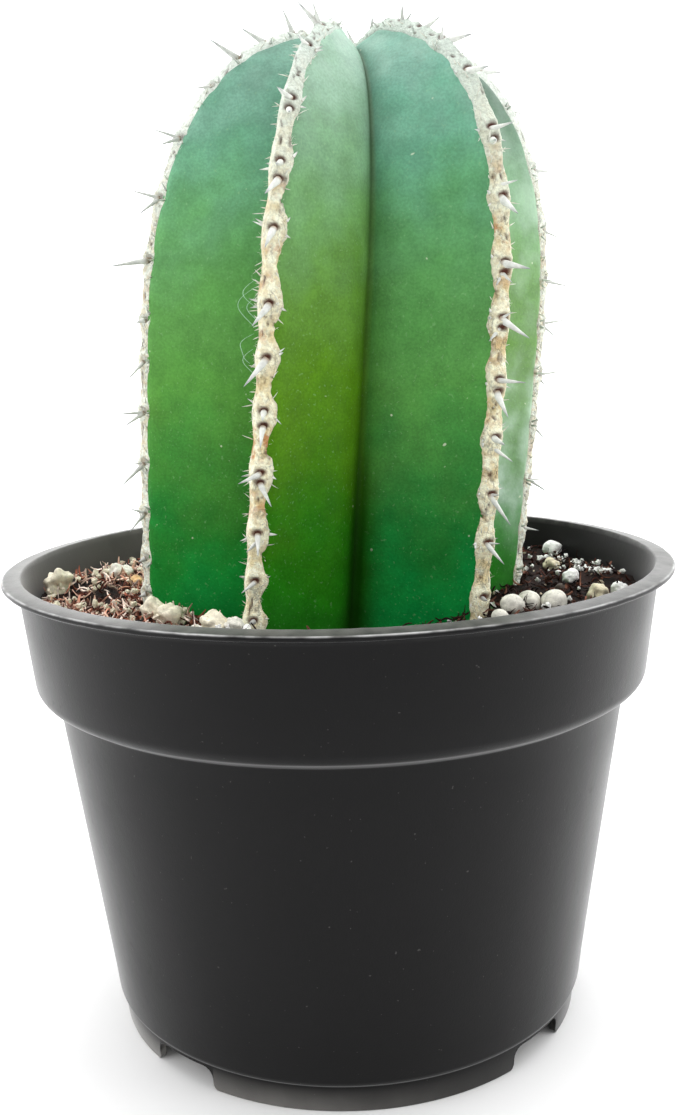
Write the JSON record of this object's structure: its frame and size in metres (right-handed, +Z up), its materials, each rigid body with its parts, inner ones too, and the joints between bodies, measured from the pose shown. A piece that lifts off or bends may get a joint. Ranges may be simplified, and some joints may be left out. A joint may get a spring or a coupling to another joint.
{
  "type": "potted mexican fence post cactus",
  "caption": "Young columnar cactus with ribbed green stem, cream woolly felt and short spines on the ribs, standing in potting mix in a round black nursery pot.",
  "frame": {"origin": "centre of the pot's base, on the surface that the feet stand on", "axes": "+Z up along the pot's axis; the front that the picture shows faces -Y, with +X to its right"},
  "size_m": [0.157, 0.157, 0.2333],
  "materials": {
    "pot_plastic": "satin black moulded plastic",
    "potting_mix": "loose dark brown bark and peat mix",
    "stem_skin": "waxy green skin with a pale bloom",
    "rib_felt": "dense cream wool with grey-white spines"
  },
  "bodies": {
    "root": {"pot": "pot_plastic", "soil": "potting_mix", "stem": "stem_skin", "felt_and_spines": "rib_felt"}
  },
  "joints": []
}
